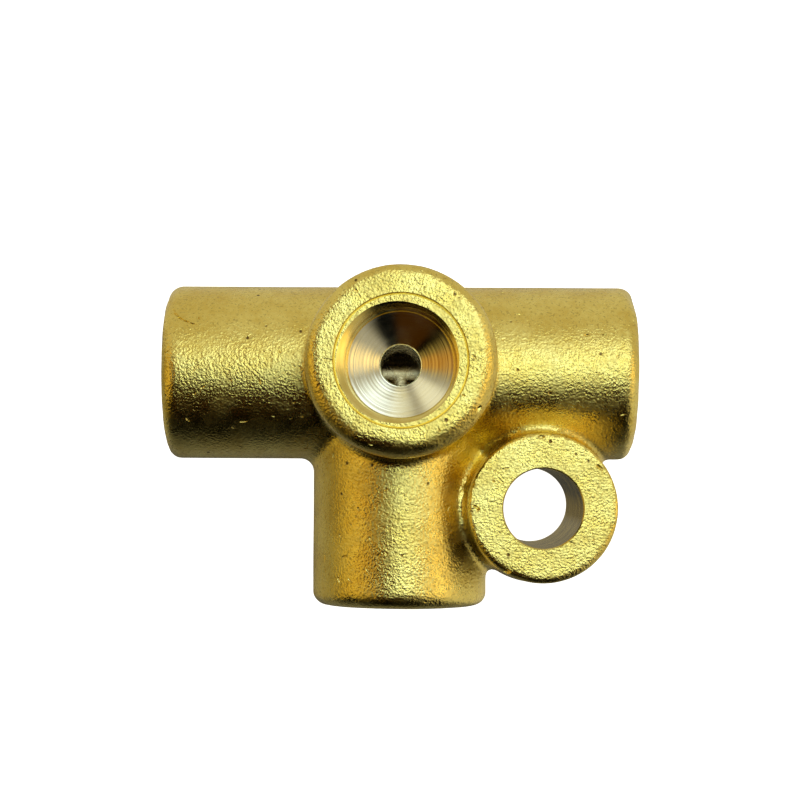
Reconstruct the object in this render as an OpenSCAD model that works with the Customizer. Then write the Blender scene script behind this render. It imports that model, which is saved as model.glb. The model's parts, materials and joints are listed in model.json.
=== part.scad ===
// Four-way brake pipe connector: a forged brass body with three tubular arms in one plane, a front boss square
// to them, an offset mounting eye, and a turned seat pressed into the bottom of each threaded port.
//
// The frame has its origin at the centre of the mounting hole, on the back face that bolts to the vehicle.
// X runs along the through arms, Y points away from the lower arm, and Z along the mounting bolt and the
// front port. The back face of the eye and the backs of the arms lie in the plane z = 0.

/* [Arms] */
// Outside diameter of each arm and of the front boss
arm_d = 15; // [13:0.5:18]
// Distance from the junction of the port axes to each port's face
arm_length = 20; // [18:0.5:28]
// Radius of the rounded rim of each port
rim_radius = 1.2; // [0.4:0.1:1.8]

/* [Ports] */
// Minor diameter of the port thread, M10 x 1
thread_minor_d = 8.92; // [8.9:0.01:9.1]
// Diameter of the shallow recess round each thread's mouth
recess_d = 10.35; // [10.2:0.05:11]
// Depth of that recess
recess_depth = 0.3; // [0.1:0.1:0.8]
// Depth of the foot of the seat's cone below the port's face
port_depth = 6; // [5:0.5:9]
// Bore of the seats and of the passages behind them
passage_d = 3.25; // [2.5:0.05:3.6]

/* [Seats] */
// Outside diameter of the pressed-in seat
seat_d = 8.6; // [8:0.1:8.7]
// Included angle of the seat's cone
seat_angle = 140; // [110:1:150]
// Length of the seat's plain skirt below the cone
seat_skirt = 1.5; // [0.8:0.1:2]

/* [Mounting eye] */
// Distance of the hole from the lower arm's axis
eye_offset_x = 11.8; // [11:0.1:12.5]
// Distance of the hole from the through arms' axis
eye_offset_y = 11.5; // [11:0.1:12.5]
// Diameter of the mounting hole, clearance for an M6 bolt
hole_d = 6.6; // [6:0.1:7]
// Diameter of the eye at its front and its back rim
eye_d = 12.4; // [11:0.1:13]
// Growth of the eye's radius from each rim to the parting plane, the die's draft
eye_draft = 0.4; // [0.1:0.05:0.8]
// Thickness of the eye
eye_height = 16; // [13:0.5:22]
// Radius of the eye's rounded front rim
eye_rim = 0.3; // [0.1:0.1:1]

/* [Hidden] */
$fn = 96;
arm_r = arm_d / 2;
port_r = thread_minor_d / 2;
seat_r = seat_d / 2;
passage_r = passage_d / 2;
// The junction of the port axes
junction = [-eye_offset_x, eye_offset_y, arm_r];
// Height of the seat's cone, from its foot to the edge of its bore
cone_depth = (seat_r - passage_r) / tan(seat_angle / 2);
seat_bottom = port_depth + cone_depth + seat_skirt;
// Chamfer at the seat's lower edge, which leads it into its pocket
seat_lead = 0.2;
// Depth of the hole's front chamfer
hole_chamfer = 0.15;
// Radius of the webs in the corners between the arms and the eye
web_radius = 1.1;
// Thickness of those webs, centred on the parting plane
web_height = 2.4;
// How far a web bites into the solids that it joins, so that they meet at an angle
web_bite = 0.05;
// Distance from a web's curved edge's centre to the side of the arm, or to the side of the eye
web_reach = web_radius - web_bite;
// How far a cut runs past the face that it opens
overrun = 1;

// Turns a shape drawn along +Z, with its port's face at the top, to each port of the junction
module to_left() { translate(junction) rotate([0, -90, 0]) children(); }
module to_right() { translate(junction) rotate([0, 90, 0]) children(); }
module to_lower() { translate(junction) rotate([90, 0, 0]) children(); }
module to_front() { translate(junction) children(); }
module to_every_port() {
    to_left() children();
    to_right() children();
    to_lower() children();
    to_front() children();
}

// Half section of a bar of radius r from height low to high, with a rim rounded to radius rim at the top
module rounded_half(r, low, high, rim) {
    translate([0, low]) square([r, high - low - rim]);
    translate([0, low]) square([r - rim, high - low]);
    translate([r - rim, high - rim]) circle(rim);
}

module arm() {
    rotate_extrude() rounded_half(arm_r, 0, arm_length, rim_radius);
}

// Everything that is drilled or turned out of one arm, drawn with its axis along +Z
module port_cuts() {
    translate([0, 0, arm_length - recess_depth]) cylinder(h = recess_depth + overrun, d = recess_d);
    translate([0, 0, arm_length - port_depth]) cylinder(h = port_depth + overrun, r = port_r);
    translate([0, 0, arm_length - seat_bottom]) cylinder(h = seat_bottom, r = seat_r);
    cylinder(h = arm_length, r = passage_r);
}

// The eye's post: two tapers that meet at the parting plane, and a rounded front rim
module eye() {
    rim_r = eye_d / 2;
    waist_r = rim_r + eye_draft;
    taper_top = eye_height - eye_rim;
    cylinder(h = arm_r, r1 = rim_r, r2 = waist_r);
    translate([0, 0, arm_r]) cylinder(h = taper_top - arm_r, r1 = waist_r, r2 = rim_r);
    translate([0, 0, taper_top]) rotate_extrude() difference() {
        rounded_half(rim_r, -eye_rim, eye_rim, eye_rim);
        translate([0, -eye_rim * 2]) square([rim_r + overrun, eye_rim * 2]);
    }
}

// A thin web with a concave edge: centre is the edge's centre, foot_a and foot_b are its ends, and root is a
// point inside the metal behind it
module web(centre, foot_a, foot_b, root) {
    translate([0, 0, arm_r - web_height / 2])
        linear_extrude(web_height)
            difference() {
                polygon([centre, foot_a, root, foot_b]);
                translate(centre) circle(web_radius);
            }
}

// The web between the left arm and the lower arm
module arm_web() {
    corner = [junction[0] - arm_r, junction[1] - arm_r];
    centre = corner - [web_reach, web_reach];
    web(centre, [centre[0], corner[1] + web_bite], [corner[0] + web_bite, centre[1]], corner + [1, 1]);
}

// The web between the eye and an arm whose axis lies offset to the left of the hole
module eye_web(offset) {
    arm_side = arm_r - offset;
    eye_side = eye_d / 2 + eye_draft;
    centre_x = arm_side + web_reach;
    centre = [centre_x, -sqrt((eye_side + web_reach) ^ 2 - centre_x ^ 2)];
    web(centre, [arm_side - web_bite, centre[1]], [arm_side - 1, centre[1] / 2],
        centre * (eye_side - web_bite) / norm(centre));
}

module body() {
    color("goldenrod")
    difference() {
        union() {
            to_left() arm();
            to_right() arm();
            to_lower() arm();
            to_front() arm();
            eye();
            arm_web();
            eye_web(eye_offset_x);
            mirror([1, 1, 0]) eye_web(eye_offset_y);
        }
        to_every_port() port_cuts();
        translate([0, 0, -overrun]) cylinder(h = eye_height + 2 * overrun, d = hole_d);
        translate([0, 0, eye_height - hole_chamfer])
            cylinder(h = 2 * hole_chamfer, r1 = hole_d / 2, r2 = hole_d / 2 + 2 * hole_chamfer);
    }
}

// A turned seat: a plain ring whose top is a hollow cone that narrows to the passage
module seat() {
    foot = arm_length - port_depth;
    bottom = arm_length - seat_bottom;
    rotate_extrude()
        polygon([
            [passage_r, bottom],
            [seat_r - seat_lead, bottom],
            [seat_r, bottom + seat_lead],
            [seat_r, foot],
            [passage_r, foot - cone_depth]
        ]);
}

module left_seat() { color("khaki") to_left() seat(); }
module right_seat() { color("khaki") to_right() seat(); }
module lower_seat() { color("khaki") to_lower() seat(); }
module front_seat() { color("khaki") to_front() seat(); }

body();
left_seat();
right_seat();
lower_seat();
front_seat();
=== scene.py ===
"""Looks of a four-way brake pipe connector: a shot-blasted brass forging with four threaded ports, a
mounting eye and a bright turned seat at the bottom of each port.

Shapes are worked out in millimetres in the row's frame and drawn in metres. The forging's skin is the zero
level of a distance field, with fillets where its bars meet. Every machined surface is then cut into it as a
real tool would leave it.
"""
import json
import math

import bmesh
import bpy
import numpy as np
from mathutils import Euler, Matrix, Vector


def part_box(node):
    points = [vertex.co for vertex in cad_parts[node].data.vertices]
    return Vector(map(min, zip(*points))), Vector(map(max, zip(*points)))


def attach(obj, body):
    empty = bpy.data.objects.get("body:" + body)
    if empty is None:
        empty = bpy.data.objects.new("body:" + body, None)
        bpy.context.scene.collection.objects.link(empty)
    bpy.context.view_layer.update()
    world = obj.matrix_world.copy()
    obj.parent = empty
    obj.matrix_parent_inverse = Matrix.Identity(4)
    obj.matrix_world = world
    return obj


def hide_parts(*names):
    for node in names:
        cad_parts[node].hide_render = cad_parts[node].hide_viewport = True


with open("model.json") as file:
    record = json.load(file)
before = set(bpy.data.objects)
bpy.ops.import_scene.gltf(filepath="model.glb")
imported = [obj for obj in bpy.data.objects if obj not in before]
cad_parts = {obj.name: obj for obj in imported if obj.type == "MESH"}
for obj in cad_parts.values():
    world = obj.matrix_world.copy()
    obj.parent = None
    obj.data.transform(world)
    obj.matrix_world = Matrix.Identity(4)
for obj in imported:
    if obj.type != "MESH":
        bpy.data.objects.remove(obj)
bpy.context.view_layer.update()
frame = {"record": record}
MM = 0.001


# ---- Sizes in millimetres, most of them read from the frame ----

def corners(node):
    """Lowest and highest corners of a CAD node."""
    low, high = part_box(node)
    return np.array(low) / MM, np.array(high) / MM


def mount(name):
    """The dimensions of one of the record's mounts."""
    return next(m["dims"] for m in frame["record"]["mounts"] if m["name"] == name)


BODY_LOW, BODY_HIGH = corners("body")
SEAT_LOW, SEAT_HIGH = corners("front_seat")
SEAT_MIDDLE = (SEAT_LOW + SEAT_HIGH) / 2
# The point where the axes of the four ports meet
JUNCTION = np.array([SEAT_MIDDLE[0], SEAT_MIDDLE[1], sum(corners("left_seat"))[2] / 2])
ARM_R = BODY_HIGH[1] - JUNCTION[1]
ARM_LENGTH = BODY_HIGH[2] - JUNCTION[2]
ARM_RIM = 1.2
PORT_R = mount("front_port")["r_mm"]
THREAD_MAJOR_R = 5.0
THREAD_PITCH = 1.0
RECESS_R = 5.175
SEAT_R = SEAT_HIGH[0] - SEAT_MIDDLE[0]
SEAT_FOOT = SEAT_HIGH[2] - JUNCTION[2]
SEAT_BOTTOM = SEAT_LOW[2] - JUNCTION[2]
SEAT_HALF_ANGLE = math.radians(70)
PASSAGE_R = 1.625
RECESS_DEPTH = ARM_LENGTH - SEAT_FOOT - mount("front_port")["length_mm"]
HOLE_R = mount("mounting_hole")["r_mm"]
HOLE_CHAMFER = 0.15
EYE_HEIGHT = mount("mounting_hole")["length_mm"] + HOLE_CHAMFER
EYE_R = 6.2
EYE_DRAFT = 0.4
EYE_RIM = 0.3
# Fillets between two arms, round the front boss, and round the mounting eye
ARM_FILLET = 1.1
BOSS_FILLET = 0.8
EYE_FILLET = 1.0
# The skin lies this far inside the CAD surface, which leaves room for its bumps
SKIN_INSET = 0.045
VOXEL = 0.265

# Each port's outward direction; a tool drawn along +Z is turned to it
PORTS = {
    "left": Vector((-1, 0, 0)),
    "right": Vector((1, 0, 0)),
    "lower": Vector((0, -1, 0)),
    "front": Vector((0, 0, 1)),
}
# The body's material slots; the third is darker brass on the walls of the passages, painted shade for their
# dim inside
FORGED, MACHINED, PAINTED_SHADE = 0, 1, 2
# How far a face's middle may lie from the machined surface that it belongs to
FACE_MARGIN = 0.02
# Depth of the groove at the foot of each recess, and of the chamfer at its mouth
RECESS_CORNER = 0.06
# Size of a seat's broken edges, and number of turned ridges on its cone
SEAT_EDGE = 0.09
SEAT_RIDGES = 30
# Sides of a circle that is turned or drilled
PORT_STEPS, SEAT_STEPS, HOLE_STEPS = 128, 160, 160

# Layers of the skin's relief: size, depth everywhere, further depth on the arms' ends, and seed
RELIEF = ((4.4, 0.014, 0, 11), (1.1, 0.001, 0.008, 12), (0.6, 0.0005, 0.006, 13))
# Depth and half width of the parting line
PARTING_DEPTH, PARTING_SPREAD = 0.03, 0.45
# Pits and short scratches scattered over the skin, and the least distance between two of them
PIT_COUNT, PIT_GAP = 260, 1.2

# Dents and scratches: place on the skin, heading in degrees from +X, length, width and depth
MARKS = (
    ((-30.9, 16.7, 13.4), -60, 0.7, 0.20, 0.07),
    ((-30.6, 16.2, 13.6), -54, 0.8, 0.22, 0.09),
    ((-30.2, 15.8, 13.8), -42, 0.9, 0.22, 0.10),
    ((-29.7, 15.5, 13.9), -28, 0.9, 0.20, 0.09),
    ((-29.2, 15.3, 14.0), -18, 0.8, 0.16, 0.06),
    ((-6.1, 7.95, 26.8), 50, 1.0, 0.60, 0.22),
    ((-3.1, -5.3, 15.9), 35, 1.1, 0.80, 0.30),
    ((-0.2, 5.9, 16.0), 0, 0.7, 0.40, 0.10),
    ((4.6, 3.4, 16.0), -40, 0.8, 0.40, 0.12),
    ((-5.5, 0.1, 16.0), -30, 0.8, 0.30, 0.12),
    ((-24.9, 7.5, 13.0), 10, 0.8, 0.24, 0.08),
    ((-16.4, -4.1, 13.4), 15, 0.8, 0.26, 0.10),
    ((-13.6, -4.0, 14.8), 50, 0.7, 0.30, 0.08),
    ((-15.4, -0.8, 14.1), -20, 0.6, 0.20, 0.07),
    ((-16.8, -2.4, 13.1), -45, 0.5, 0.26, 0.07),
    ((-16.9, -6.1, 13.0), -60, 0.8, 0.24, 0.08),
    ((-14.4, -5.4, 14.6), -50, 0.9, 0.20, 0.08),
    ((-16.0, -6.1, 13.8), -35, 0.6, 0.20, 0.07),
    ((3.7, 14.5, 14.6), 10, 0.6, 0.30, 0.09),
    ((-1.8, 16.2, 13.3), -15, 0.8, 0.16, 0.06),
)


def port_place(name):
    """The matrix that turns a shape drawn about +Z to a port, in millimetres in the row's frame."""
    turn = PORTS[name].to_track_quat("Z", "Y").to_matrix().to_4x4()
    return Matrix.Translation(JUNCTION) @ turn


# ---- Random relief ----

def noise(points, size, seed):
    """Smooth random values from -1 to 1, in blobs about size wide."""
    side = 32
    table = np.random.default_rng(seed).uniform(-1, 1, (side, side, side))
    scaled = points / size
    base = np.floor(scaled).astype(int)
    share = scaled - base
    share = share * share * (3 - 2 * share)
    total = np.zeros(len(points))
    for corner in np.ndindex(2, 2, 2):
        weight = np.prod(np.where(corner, share, 1 - share), axis=1)
        x, y, z = ((base + corner) % side).T
        total += weight * table[x, y, z]
    return total


# ---- The forging's distance field ----

def rounded_bar(out, up, rim):
    """Distance to a bar, from the distances to its side (out) and its end (up), with a rounded rim."""
    out = out + rim
    up = up + rim
    corner = np.hypot(np.maximum(out, 0), np.maximum(up, 0))
    return corner + np.minimum(np.maximum(out, up), 0) - rim


def arm_field(points, axis, rim):
    """Distance to an arm that starts as a ball at the junction, and the direction that its side faces."""
    along = points @ axis
    spoke = points - np.maximum(along, 0)[:, None] * axis
    radius = np.maximum(np.linalg.norm(spoke, axis=1), 1e-6)
    return rounded_bar(radius - ARM_R, along - ARM_LENGTH, rim), spoke / radius[:, None]


def eye_field(points, rim):
    """Distance to the eye's drafted post, and the direction that its side faces."""
    spoke = points * (1, 1, 0)
    radius = np.maximum(np.linalg.norm(spoke, axis=1), 1e-6)
    height = points[:, 2]
    reach = np.where(height > ARM_R, EYE_HEIGHT - ARM_R, ARM_R)
    taper = EYE_DRAFT * np.clip(1 - np.abs(height - ARM_R) / reach, 0, 1)
    return rounded_bar(radius - EYE_R - taper, height - EYE_HEIGHT, rim), spoke / radius[:, None]


def blend(a, b, radius):
    """Joins two fields with a concave fillet, which dies out where the two face the same way."""
    (distance_a, facing_a), (distance_b, facing_b) = a, b
    size = radius * np.clip(1 - np.sum(facing_a * facing_b, axis=1), 0, 1)
    gap = np.hypot(np.maximum(size - distance_a, 0), np.maximum(size - distance_b, 0))
    distance = np.maximum(size, np.minimum(distance_a, distance_b)) - gap
    facing = np.where((distance_a < distance_b)[:, None], facing_a, facing_b)
    return distance, facing


def forging_field(points, rim_wobble=0):
    """Distance from each point to the whole forging's skin."""
    local = points - JUNCTION
    folded = local * np.where(local[:, :1] < 0, (-1, 1, 1), (1, 1, 1))
    rim = ARM_RIM + rim_wobble
    eye_rim = EYE_RIM + 0.3 * np.clip(-points[:, 1] / EYE_R, 0, 1) + rim_wobble / 3
    run = arm_field(folded, np.array([1, 0, 0]), rim)
    leg = arm_field(local, np.array([0, -1, 0]), rim)
    boss = arm_field(local, np.array([0, 0, 1]), rim)
    eye = eye_field(points, eye_rim)
    arms = blend(blend(run, leg, ARM_FILLET), boss, BOSS_FILLET)
    distance, _ = blend(arms, eye, EYE_FILLET)
    return np.maximum(distance, -points[:, 2]) + SKIN_INSET


def field_normals(points, rim_wobble=0):
    """Outward unit normals of the forging's distance field."""
    step = 0.02
    slopes = []
    for axis in np.eye(3) * step:
        ahead = forging_field(points + axis, rim_wobble)
        behind = forging_field(points - axis, rim_wobble)
        slopes.append(ahead - behind)
    normals = np.stack(slopes, axis=1)
    return normals / np.linalg.norm(normals, axis=1, keepdims=True)


# ---- Meshes ----

def add_object(name, points, faces, material_index=0):
    """A mesh object from points in millimetres."""
    mesh = bpy.data.meshes.new(name)
    mesh.from_pydata((np.asarray(points) * MM).tolist(), [], [list(map(int, f)) for f in faces])
    work = bmesh.new()
    work.from_mesh(mesh)
    bmesh.ops.recalc_face_normals(work, faces=work.faces)
    for face in work.faces:
        face.material_index = material_index
        face.smooth = True
    work.to_mesh(mesh)
    work.free()
    made = bpy.data.objects.new(name, mesh)
    bpy.context.scene.collection.objects.link(made)
    return made


def sample_grid(low, high, step):
    """The field's values on a regular grid, and the grid's lowest corner."""
    start = low - 2 * step
    counts = np.ceil((high - start) / step).astype(int) + 2
    xs, ys, zs = (start[i] + step * np.arange(counts[i]) for i in range(3))
    flat = np.stack(np.meshgrid(xs, ys, indexing="ij"), axis=-1).reshape(-1, 2)
    layers = []
    for z in zs:
        points = np.column_stack([flat, np.full(len(flat), z)])
        layers.append(forging_field(points).reshape(counts[0], counts[1]))
    return np.stack(layers, axis=-1), start


def surface_net(values, start, step):
    """Points and four-sided faces of a field's zero level, with one point in each cell that it crosses."""
    total = np.zeros(values.shape + (3,))
    hits = np.zeros(values.shape)
    crossings = []
    for axis in range(3):
        near = np.moveaxis(values, axis, 0)[:-1]
        far = np.moveaxis(values, axis, 0)[1:]
        cells = np.argwhere(np.moveaxis((near < 0) != (far < 0), 0, axis))
        ahead = cells + np.eye(3, dtype=int)[axis]
        a, b = values[tuple(cells.T)], values[tuple(ahead.T)]
        places = cells.astype(float)
        places[:, axis] += a / (a - b)
        side_1, side_2 = np.roll(np.eye(3, dtype=int), -axis - 1, axis=0)[:2]
        ring = [cells, cells - side_1, cells - side_1 - side_2, cells - side_2]
        for cell in ring:
            np.add.at(total, tuple(cell.T), places)
            np.add.at(hits, tuple(cell.T), 1)
        crossings.append((ring, a < 0))
    used = hits > 0
    index = np.full(values.shape, -1)
    index[used] = np.arange(used.sum())
    faces = []
    for ring, outward in crossings:
        quads = np.stack([index[tuple(cell.T)] for cell in ring], axis=1)
        faces.append(np.where(outward[:, None], quads, quads[:, ::-1]))
    return start + step * total[used] / hits[used][:, None], np.concatenate(faces)


def settle(points, rim_wobble):
    """Moves points onto the zero level of the field."""
    for _ in range(4):
        distance = forging_field(points, rim_wobble)
        points = points - distance[:, None] * field_normals(points, rim_wobble)
    return points


def rim_wobble(points):
    """How far each rim's radius is from its nominal one: uneven, and larger on the boss's lower side."""
    local = points - JUNCTION
    lean = np.where(local[:, 2] > ARM_LENGTH / 2, -local[:, 1] / ARM_R, 0)
    return 0.35 * lean + 0.22 * noise(points, 2.6, 21) + 0.10 * noise(points, 1.0, 22)


def relief(points):
    """Height of the blasted skin over the true shape: swells, hammer marks and peened dimples."""
    local = points - JUNCTION
    end = np.max(np.abs(local[:, [0, 2]]), axis=1) - ARM_LENGTH
    on_end = np.clip(1 + end / 0.4, 0, 1)
    height = np.zeros(len(points))
    for size, depth, end_depth, seed in RELIEF:
        height += (depth + end_depth * on_end) * noise(points, size, seed)
    parting = np.exp(-((points[:, 2] - ARM_R) / PARTING_SPREAD) ** 2)
    return height - PARTING_DEPTH * parting * (1 + 0.5 * noise(points, 1.7, 14))


def spindle(work, place, along, normal, length, width, depth):
    """Adds an ellipsoid that cuts a mark of this length, width and depth into the skin at place."""
    chord = math.sqrt(5) / 3
    tall = 3 * depth
    across = np.cross(normal, along)
    axes = np.column_stack([along * length / 2 / chord, across * width / 2 / chord, normal * tall])
    matrix = Matrix.Translation(place + normal * (tall - depth)) @ Matrix(axes.tolist()).to_4x4()
    bmesh.ops.create_icosphere(work, subdivisions=2, radius=1, matrix=matrix)


def mark_tool(marks):
    """One cutter for marks that don't touch each other."""
    work = bmesh.new()
    for mark in marks:
        spindle(work, *mark)
    bmesh.ops.recalc_face_normals(work, faces=work.faces)
    bmesh.ops.scale(work, vec=(MM, MM, MM), verts=work.verts)
    mesh = bpy.data.meshes.new("marks")
    work.to_mesh(mesh)
    work.free()
    tool = bpy.data.objects.new("marks", mesh)
    bpy.context.scene.collection.objects.link(tool)
    return tool


def tangent(normal, heading):
    """The unit direction in the surface that lies nearest to a heading in the XY plane."""
    way = np.array([math.cos(heading), math.sin(heading), 0.01])
    way = way - normal * (way @ normal)
    return way / np.linalg.norm(way)


def placed_marks():
    """The dents and scratches of MARKS, moved onto the skin."""
    spots = settle(np.array([mark[0] for mark in MARKS]), 0)
    normals = field_normals(spots)
    for spot, normal, (_, heading, *size) in zip(spots, normals, MARKS):
        yield spot, tangent(normal, math.radians(heading)), normal, *size


def scattered_marks(points, normals, seed):
    """Small pits and short scratches all over the skin, none of which touch."""
    rng = np.random.default_rng(seed)
    chosen = []
    for index in rng.permutation(len(points)):
        if all(np.linalg.norm(points[index] - points[other]) > PIT_GAP for other in chosen):
            chosen.append(index)
        if len(chosen) == PIT_COUNT:
            break
    for index in chosen:
        length = rng.uniform(0.25, 0.6) + (rng.uniform() > 0.8) * rng.uniform(0.3, 0.7)
        width = min(length, rng.uniform(0.14, 0.3))
        along = tangent(normals[index], rng.uniform(0, math.pi))
        yield points[index], along, normals[index], length, width, rng.uniform(0.03, 0.07)


def make_skin():
    """The forging before machining, with uneven rims and a blasted skin, and its points and normals."""
    values, start = sample_grid(BODY_LOW, BODY_HIGH, VOXEL)
    points, faces = surface_net(values, start, VOXEL)
    wobble = rim_wobble(points)
    points = settle(points, wobble)
    normals = field_normals(points, wobble)
    points = np.clip(points + relief(points)[:, None] * normals, BODY_LOW, BODY_HIGH)
    return add_object("body_skin", points, faces, FORGED), points, normals


def wear(piece, points, normals):
    """Cuts the pits and scratches."""
    carve(piece, mark_tool(scattered_marks(points, normals, 31)))
    for mark in placed_marks():
        carve(piece, mark_tool([mark]))


def placed(points, place):
    """Points in millimetres turned and moved by a matrix."""
    matrix = np.array(place)
    return np.asarray(points) @ matrix[:3, :3].T + matrix[:3, 3]


def lathe(name, profile, place, steps=96, closed=False):
    """A turned solid. Its (radius, height) profile is a closed loop or runs from axis to axis."""
    angles = np.arange(steps) * 2 * math.pi / steps
    rim = profile if closed else profile[1:-1]
    points = [(r * math.cos(a), r * math.sin(a), h) for r, h in rim for a in angles]
    faces = []
    rows = len(rim)
    for row in range(rows if closed else rows - 1):
        above = (row + 1) % rows
        for i in range(steps):
            j = (i + 1) % steps
            faces.append((row * steps + i, row * steps + j, above * steps + j, above * steps + i))
    if not closed:
        for pole, row in ((profile[0], 0), (profile[-1], rows - 1)):
            points.append((0, 0, pole[1]))
            tip = len(points) - 1
            faces += [(row * steps + i, row * steps + (i + 1) % steps, tip) for i in range(steps)]
    return add_object(name, placed(points, place), faces, MACHINED)


def thread_tool(name, place, low, high, steps=96):
    """A solid whose side is the form of an internal thread, which runs out over its lowest half turn."""
    columns = math.ceil((high - low) / THREAD_PITCH) * steps
    # One turn's form: each corner's rise as a share of the pitch, and its depth as a share of the thread's
    section = ((0, 0), (0.25, 0), (0.5625, 1), (0.6875, 1))
    points = []
    index = {}
    for column in range(columns + steps + 1):
        angle = 2 * math.pi * column / steps
        lift = low + THREAD_PITCH * column / steps
        cut = (THREAD_MAJOR_R - PORT_R) * min(1, 2 * column / steps)
        for corner, (rise, share) in enumerate(section if column <= columns else section[:1]):
            index[column, corner] = len(points)
            radius = PORT_R + cut * share
            points.append((radius * math.cos(angle), radius * math.sin(angle), lift + rise * THREAD_PITCH))
        if column >= steps:
            index[column - steps, len(section)] = index[column, 0]
    faces = []
    for column in range(columns):
        for corner in range(len(section)):
            faces.append((index[column, corner], index[column + 1, corner],
                          index[column + 1, corner + 1], index[column, corner + 1]))
    for first, height in ((0, low - THREAD_PITCH), (columns, high + 2 * THREAD_PITCH)):
        loop = [index[first + i, 0] for i in range(steps + 1)]
        loop += [index[first, corner] for corner in range(len(section) - 1, -1, -1)]
        points.append((0, 0, height))
        faces += [(loop[i], loop[i + 1], len(points) - 1) for i in range(len(loop) - 1)]
    return add_object(name, placed(points, place), faces, MACHINED)


def carve(piece, tool):
    """Cuts a tool's solid out of a piece."""
    modifier = piece.modifiers.new("carve", "BOOLEAN")
    modifier.operation = "DIFFERENCE"
    modifier.solver = "MANIFOLD"
    modifier.object = tool
    depsgraph = bpy.context.evaluated_depsgraph_get()
    mesh = bpy.data.meshes.new_from_object(piece.evaluated_get(depsgraph))
    piece.modifiers.clear()
    piece.data = mesh
    bpy.data.objects.remove(tool)


def port_profile():
    """Everything turned out of one port but its thread."""
    recess_floor = ARM_LENGTH - RECESS_DEPTH
    ledge = (PORT_R - SEAT_R) / math.tan(SEAT_HALF_ANGLE)
    corner = RECESS_CORNER
    return [
        (0, 0), (PASSAGE_R, 0), (PASSAGE_R, SEAT_BOTTOM), (SEAT_R, SEAT_BOTTOM), (SEAT_R, SEAT_FOOT),
        (PORT_R, SEAT_FOOT + ledge), (PORT_R, recess_floor), (RECESS_R - 2 * corner, recess_floor),
        (RECESS_R - corner, recess_floor - corner), (RECESS_R, recess_floor),
        (RECESS_R + corner, ARM_LENGTH - corner), (RECESS_R + 2 * corner, ARM_LENGTH + corner),
        (RECESS_R + 2 * corner, ARM_LENGTH + 1), (0, ARM_LENGTH + 1),
    ]


def hole_profile():
    """The mounting hole with its small front chamfer."""
    chamfer = HOLE_CHAMFER
    return [
        (0, -1), (HOLE_R, -1), (HOLE_R, EYE_HEIGHT - chamfer), (HOLE_R + 2 * chamfer, EYE_HEIGHT + chamfer),
        (0, EYE_HEIGHT + chamfer),
    ]


def machine(piece):
    """Turns the ports, cuts their threads and drills the mounting hole."""
    for name in PORTS:
        place = port_place(name)
        carve(piece, lathe(name + "_bore", port_profile(), place, steps=PORT_STEPS))
        carve(piece, thread_tool(name + "_thread", place, SEAT_FOOT + THREAD_PITCH, ARM_LENGTH))
    carve(piece, lathe("eye_hole", hole_profile(), Matrix.Identity(4), steps=HOLE_STEPS))


def on_recess_floor(along, radius):
    """Whether a face, this far along a port's axis and off it, is on the floor of the port's recess."""
    return abs(along - ARM_LENGTH + RECESS_DEPTH) < FACE_MARGIN and radius < RECESS_R


def on_passage_wall(along, radius):
    """Whether a face, this far along a port's axis and off it, is on the wall of the drilled passage."""
    return 0 <= along < SEAT_BOTTOM and radius < PASSAGE_R + FACE_MARGIN


def finish_and_shade_ports(piece):
    """The recess floors get the skin's blasted finish; the passage walls get darker brass, painted shade.
    """
    for face in piece.data.polygons:
        local = Vector(face.center) / MM - Vector(JUNCTION)
        for direction in PORTS.values():
            along = local.dot(direction)
            radius = (local - along * direction).length
            if on_recess_floor(along, radius):
                face.material_index = FORGED
            elif on_passage_wall(along, radius):
                # Passage walls take the darker brass, which paints the shade inside the passages
                face.material_index = PAINTED_SHADE


def soften(piece, angle=25):
    """Smooth shading that breaks at real edges."""
    mesh = piece.data
    mesh.shade_smooth()
    mesh.set_sharp_from_angle(angle=math.radians(angle))


def store_tool_marks(piece, radius, height):
    """Stores each point's radius and height about the axis it was turned on, for the ring-marked metal."""
    marks = np.column_stack([radius, height, np.zeros(len(radius))])
    layer = piece.data.attributes.new("tool_marks", "FLOAT_VECTOR", "POINT")
    layer.data.foreach_set("vector", (marks * MM).astype(np.float32).ravel())


def seat_tool_marks(piece, place):
    """Tool marks of a seat, about its port's axis."""
    points = np.array([v.co for v in piece.data.vertices]) / MM
    local = placed(points, np.linalg.inv(np.array(place)))
    store_tool_marks(piece, np.hypot(local[:, 0], local[:, 1]), local[:, 2])


def body_tool_marks(piece):
    """Tool marks of the body's machined surfaces, each about the axis of its own port or hole."""
    points = np.array([v.co for v in piece.data.vertices]) / MM
    local = points - JUNCTION
    radius = np.hypot(points[:, 0], points[:, 1])
    height = points[:, 2].copy()
    for direction in PORTS.values():
        axis = np.array(direction)
        along = local @ axis
        off_axis = np.linalg.norm(local - along[:, None] * axis, axis=1)
        inside = (off_axis < RECESS_R + 0.1) & (along > PASSAGE_R)
        radius = np.where(inside, off_axis, radius)
        height = np.where(inside, along, height)
    store_tool_marks(piece, radius, height)


def make_body():
    """The machined forging."""
    piece, points, normals = make_skin()
    piece.name = "forged_body"
    piece.data.materials.append(forged_brass)
    piece.data.materials.append(machined_brass)
    piece.data.materials.append(drilled_brass)
    wear(piece, points, normals)
    machine(piece)
    finish_and_shade_ports(piece)
    soften(piece)
    body_tool_marks(piece)
    return piece


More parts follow.
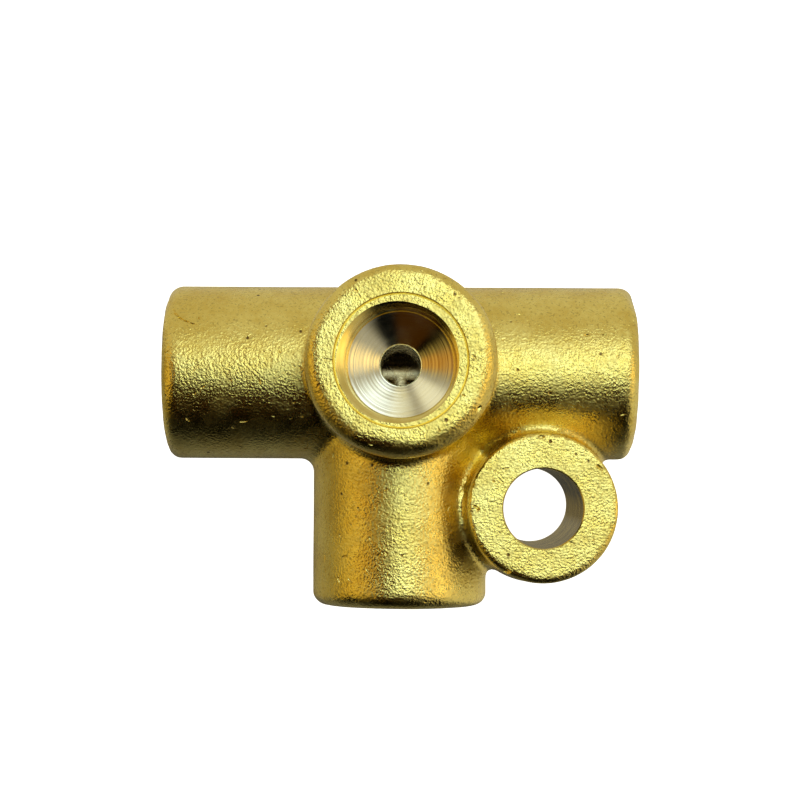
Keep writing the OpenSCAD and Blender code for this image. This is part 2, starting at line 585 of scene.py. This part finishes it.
def seat_profile(seed):
    """A seat's section: a hollow cone with fine turned ridges, broken edges and a plain skirt."""
    edge = SEAT_EDGE
    slope = 1 / math.tan(SEAT_HALF_ANGLE)
    rows = SEAT_RIDGES
    ridge = np.random.default_rng(seed).uniform(-0.004, 0.004, rows)
    profile = [(PASSAGE_R, SEAT_BOTTOM)]
    profile += [(SEAT_R, SEAT_BOTTOM), (SEAT_R, SEAT_FOOT - edge)]
    for i in range(rows):
        radius = SEAT_R - edge - (SEAT_R - PASSAGE_R - 2 * edge) * i / (rows - 1)
        profile.append((radius, SEAT_FOOT - (SEAT_R - radius) * slope - 0.005 + ridge[i]))
    profile.append((PASSAGE_R, profile[-1][1] - edge))
    return profile


def make_seat(name, seed):
    """One turned seat."""
    place = port_place(name)
    piece = lathe("turned_" + name + "_seat", seat_profile(seed), place, steps=SEAT_STEPS, closed=True)
    for face in piece.data.polygons:
        face.material_index = 0
    piece.data.materials.append(turned_brass)
    soften(piece)
    seat_tool_marks(piece, place)
    return piece


# ---- Materials ----

class Nodes:
    """Adds nodes to one node tree, with each input given as a value or as another node's socket."""

    def __init__(self, tree):
        self.tree = tree

    def add(self, kind, inputs=None, **settings):
        made = self.tree.nodes.new("ShaderNode" + kind)
        for key, value in settings.items():
            setattr(made, key, value)
        for key, value in (inputs or {}).items():
            if isinstance(value, bpy.types.NodeSocket):
                self.tree.links.new(value, made.inputs[key])
            else:
                made.inputs[key].default_value = value
        return made

    def math(self, operation, *values):
        return self.add("Math", dict(enumerate(values)), operation=operation).outputs[0]

    def between(self, value, low, high, to_low=0.0, to_high=1.0):
        """value taken from low..high to to_low..to_high, eased at both ends."""
        inputs = {"Value": value, "From Min": low, "From Max": high, "To Min": to_low, "To Max": to_high}
        return self.add("MapRange", inputs, interpolation_type="SMOOTHSTEP").outputs["Result"]

    def noise(self, place, scale, detail=2.0, roughness=0.5):
        inputs = {"Vector": place, "Scale": scale, "Detail": detail, "Roughness": roughness}
        return self.add("TexNoise", inputs).outputs["Fac"]

    def mix(self, factor, a, b):
        made = self.add("Mix", data_type="RGBA")
        for socket, value in (("Factor", factor), ("A", a), ("B", b)):
            target = next(s for s in made.inputs if s.name == socket and s.enabled)
            if isinstance(value, bpy.types.NodeSocket):
                self.tree.links.new(value, target)
            else:
                target.default_value = value
        return next(s for s in made.outputs if s.enabled)

    def bump(self, height, distance, normal=None):
        inputs = {"Height": height, "Distance": distance, "Strength": 1.0}
        if normal is not None:
            inputs["Normal"] = normal
        return self.add("Bump", inputs).outputs["Normal"]


def new_metal(name):
    """A metal material's nodes and its shader."""
    material = bpy.data.materials.new(name)
    material.use_nodes = True
    shader = material.node_tree.nodes["Principled BSDF"]
    shader.inputs["Metallic"].default_value = 1.0
    return material, Nodes(material.node_tree), shader


def make_forged_brass():
    """Shot-blasted brass: a fine grain, shallow dimples, darker patches and small pits."""
    material, nodes, shader = new_metal("forged_brass")
    place = nodes.add("TexCoord").outputs["Object"]
    patches = nodes.between(nodes.noise(place, 260, 3.0, 0.6), 0.38, 0.66)
    mottle = nodes.between(nodes.noise(place, 2600, 2.0, 0.6), 0.32, 0.68)
    tone = nodes.math("MULTIPLY_ADD", mottle, 0.4, nodes.math("MULTIPLY", patches, 0.6))
    colour = nodes.mix(tone, (0.77, 0.575, 0.13, 1), (0.93, 0.775, 0.24, 1))
    specks = nodes.between(nodes.noise(place, 5200, 1.0), 0.55, 0.70, 0.0, 0.45)
    colour = nodes.mix(specks, colour, (0.34, 0.25, 0.05, 1))
    cells = nodes.add("TexVoronoi", {"Vector": place, "Scale": 560.0}).outputs["Distance"]
    pits = nodes.between(cells, 0.04, 0.10, 1.0, 0.0)
    colour = nodes.mix(pits, colour, (0.16, 0.10, 0.03, 1))
    grain = nodes.noise(place, 5200, 2.0, 0.6)
    dimples = nodes.noise(place, 2600, 1.0)
    normal = nodes.bump(nodes.math("SUBTRACT", 1.0, pits), 0.00004)
    normal = nodes.bump(dimples, 0.000025, normal)
    normal = nodes.bump(grain, 0.000055, normal)
    rough = nodes.between(nodes.noise(place, 500, 2.0), 0.3, 0.7, 0.20, 0.32)
    nodes.tree.links.new(colour, shader.inputs["Base Color"])
    nodes.tree.links.new(rough, shader.inputs["Roughness"])
    nodes.tree.links.new(normal, shader.inputs["Normal"])
    return material


# Turned brasses: pale and deep colour, roughness, and depth of their rings in metres
RINGED_METALS = {
    "machined_brass": ((0.86, 0.71, 0.26, 1), (0.70, 0.54, 0.15, 1), 0.20, 0.00003),
    # Passage walls: darker than the machined brass, painted shade for the dim inside of the passages
    "drilled_brass": ((0.70, 0.60, 0.38, 1), (0.42, 0.33, 0.17, 1), 0.25, 0.00004),
    "turned_brass": ((0.94, 0.89, 0.68, 1), (0.86, 0.79, 0.54, 1), 0.15, 0.000008),
}


def make_ringed_metal(name):
    """Turned brass with concentric tool marks, which follow the radius and height stored in the mesh."""
    pale, deep, rough, ring_depth = RINGED_METALS[name]
    material, nodes, shader = new_metal(name)
    marks = nodes.add("Attribute", attribute_name="tool_marks").outputs["Vector"]
    place = nodes.add("TexCoord").outputs["Object"]
    fine = nodes.noise(marks, 9000, 2.0)
    wide = nodes.noise(marks, 2600, 1.0)
    stain = nodes.noise(place, 700, 2.0)
    tone = nodes.math("MULTIPLY_ADD", stain, 0.5, nodes.math("MULTIPLY", wide, 0.5))
    colour = nodes.mix(nodes.between(tone, 0.35, 0.65), deep, pale)
    rings = nodes.math("MULTIPLY_ADD", wide, 0.6, nodes.math("MULTIPLY", fine, 0.4))
    normal = nodes.bump(rings, ring_depth)
    rough_map = nodes.between(stain, 0.3, 0.7, rough * 0.8, rough * 1.2)
    nodes.tree.links.new(colour, shader.inputs["Base Color"])
    nodes.tree.links.new(rough_map, shader.inputs["Roughness"])
    nodes.tree.links.new(normal, shader.inputs["Normal"])
    return material


# ---- Studio ----

DOME = 0.62
# Middles and edges of wedges of the sky, in degrees of heading from +X: the dark card and the warm board
CARD_HEADING = 236
CARD_SPREAD = (64, 88)
BOARD_HEADING = 183
BOARD_SPREAD = (16, 34)
BOARD_FOOT_SPREAD = (20, 44)
# Round patches of light: where each one is (degrees across and up, see aimed), where it starts and ends to
# fade (degrees from its middle), its strength, and its colour
PATCHES = (
    # The brightest, which the crowns of the arms and of the leg reflect
    ((14, 20, 6, 25, 2.1), (0.80, 1, 1.2)),
    # A warm one far to the right, which the right side of the leg reflects
    ((52, -3, 6, 22, 1.5), (1, 0.72, 0.25)),
    # The front seat's cone reflects the next four: at its bottom, lower right, right side and top
    ((0, 43, 4, 13, 0.35), (1, 1, 0.7)),
    ((-30, 30, 5, 14, 0.5), (1, 1, 0.8)),
    ((-42, 0, 5, 14, 0.28), (1, 0.3, 0.01)),
    ((-14, -34, 12, 20, 0.04), (1, 0.33, 0.0)),
)


def make_camera():
    """A camera at the photograph's viewpoint, square to the front port and a little below it."""
    lens = bpy.data.cameras.new("camera")
    lens.lens = 83.7
    lens.sensor_width = 36
    lens.clip_start = 0.01
    camera = bpy.data.objects.new("camera", lens)
    bpy.context.scene.collection.objects.link(camera)
    camera.location = (Vector(JUNCTION) + Vector((-0.47, -7.98, 161.4))) * MM
    camera.rotation_euler = (0.035, -0.003, 0.004)
    bpy.context.scene.camera = camera


def make_floor():
    """A plain pale floor under the back faces."""
    size = 2.0
    corners_xy = ((-size, -size), (size, -size), (size, size), (-size, size))
    mesh = bpy.data.meshes.new("floor")
    mesh.from_pydata([(x, y, 0) for x, y in corners_xy], [], [(0, 1, 2, 3)])
    floor = bpy.data.objects.new("floor", mesh)
    bpy.context.scene.collection.objects.link(floor)
    material = bpy.data.materials.new("floor")
    material.use_nodes = True
    shader = material.node_tree.nodes["Principled BSDF"]
    shader.inputs["Base Color"].default_value = (0.9, 0.9, 0.9, 1)
    shader.inputs["Roughness"].default_value = 0.9
    shader.inputs["Emission Color"].default_value = (1, 1, 1, 1)
    shader.inputs["Emission Strength"].default_value = 1.1
    mesh.materials.append(material)
    floor.visible_glossy = False


def aimed(across, up):
    """The direction that leans across degrees towards +X and up degrees towards +Y from straight above."""
    turn = Euler((0, math.radians(across), 0)).to_matrix() @ Euler((-math.radians(up), 0, 0)).to_matrix()
    return turn @ Vector((0, 0, 1))


class Sky(Nodes):
    """Nodes of a world whose light depends on where it comes from."""

    def __init__(self, tree):
        super().__init__(tree)
        self.way = self.add("TexCoord").outputs["Generated"]
        self.height = self.add("SeparateXYZ", {0: self.way}).outputs["Z"]
        flat = self.add("VectorMath", {0: self.way, 1: (1, 1, 0)}, operation="MULTIPLY").outputs["Vector"]
        self.heading = self.add("VectorMath", {0: flat}, operation="NORMALIZE").outputs["Vector"]

    def angle_from(self, direction, vector):
        dot = self.add("VectorMath", {0: vector, 1: direction}, operation="DOT_PRODUCT").outputs["Value"]
        return self.math("ARCCOSINE", self.math("MULTIPLY", dot, 0.99999))

    def tint(self, factor, colour):
        return self.add("VectorMath", {0: colour, "Scale": factor}, operation="SCALE").outputs["Vector"]

    def patch(self, across, up, inner, outer, strength):
        """A round patch of light that fades from inner to outer degrees about its middle."""
        off = self.angle_from(aimed(across, up), self.way)
        return self.between(off, math.radians(inner), math.radians(outer), strength, 0.0)

    def sector(self, middle, inner, outer):
        """A wedge of headings about middle, in degrees from +X, from the top of the sky down."""
        turn = math.radians(middle)
        off = self.angle_from((math.cos(turn), math.sin(turn), 0), self.heading)
        return self.between(off, math.radians(inner), math.radians(outer), 1.0, 0.0)

    def fade(self, light, *span):
        """A light that changes with height, which runs from -1 straight down to 1 straight up."""
        return self.math("MULTIPLY", light, self.between(self.height, *span))


def dome_lights(sky):
    """The dome, dimmer straight above and straight below, and the faint light under the card."""
    card = sky.sector(CARD_HEADING, *CARD_SPREAD)
    open_sky = sky.math("MULTIPLY", sky.math("SUBTRACT", 1.0, card), DOME)
    dome = sky.fade(sky.fade(open_sky, -0.99, -0.9, 0.3, 1.0), 0.45, 0.85, 1.0, 0.62)
    below = sky.fade(sky.fade(card, -0.8, 0.0, 0.19, 0.0), -0.99, -0.85, 0.3, 1.0)
    return [sky.tint(dome, (1, 0.93, 0.72)), sky.tint(below, (1, 1, 0.9))]


def board_lights(sky):
    """A warm board that stands to the left, brightest half way up, and the glow of its foot."""
    board = sky.fade(sky.sector(BOARD_HEADING, *BOARD_SPREAD), 0.88, 0.60)
    board = sky.fade(board, -0.2, 0.45, 0.08, 0.8)
    foot = sky.fade(sky.sector(BOARD_HEADING, *BOARD_FOOT_SPREAD), 0.1, -0.3)
    foot = sky.fade(sky.math("MULTIPLY", foot, 0.14), -0.9, -0.6)
    return [sky.tint(board, (1, 0.72, 0.17)), sky.tint(foot, (1, 0.9, 0.5))]


def make_light():
    """Soft studio light: a bright dome, a dark card towards -X -Y, a warm board and the round patches."""
    world = bpy.data.worlds.new("studio")
    bpy.context.scene.world = world
    world.use_nodes = True
    sky = Sky(world.node_tree)
    lights = dome_lights(sky) + board_lights(sky)
    lights += [sky.tint(sky.patch(*shape), colour) for shape, colour in PATCHES]
    total = lights[0]
    for light in lights[1:]:
        total = sky.add("VectorMath", {0: total, 1: light}, operation="ADD").outputs["Vector"]
    seen = sky.add("LightPath").outputs["Is Camera Ray"]
    shown = sky.mix(seen, total, (0.93, 0.93, 0.93, 1))
    background = world.node_tree.nodes["Background"]
    sky.tree.links.new(shown, background.inputs["Color"])
    background.inputs["Strength"].default_value = 1.0


def make_front_lamp():
    """A small soft lamp beside the camera, which lights the faces square to it."""
    lamp = bpy.data.lights.new("front_lamp", "AREA")
    lamp.shape = "DISK"
    lamp.size = 0.08
    lamp.energy = 0.027
    lamp.color = (0.80, 1.0, 1.0)
    holder = bpy.data.objects.new("front_lamp", lamp)
    bpy.context.scene.collection.objects.link(holder)
    holder.location = (Vector(JUNCTION) + Vector((13, -10, 170))) * MM
    holder.visible_camera = False


# ---- The scene ----

bpy.context.scene.view_settings.view_transform = "Standard"
make_camera()
make_floor()
make_light()
make_front_lamp()

forged_brass = make_forged_brass()
machined_brass = make_ringed_metal("machined_brass")
# Darker brass for the passage walls: painted shade
drilled_brass = make_ringed_metal("drilled_brass")
turned_brass = make_ringed_metal("turned_brass")

body = make_body()
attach(body, "root")
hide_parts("body")

for seed, port in enumerate(PORTS):
    seat = make_seat(port, seed)
    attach(seat, "root")
    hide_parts(port + "_seat")
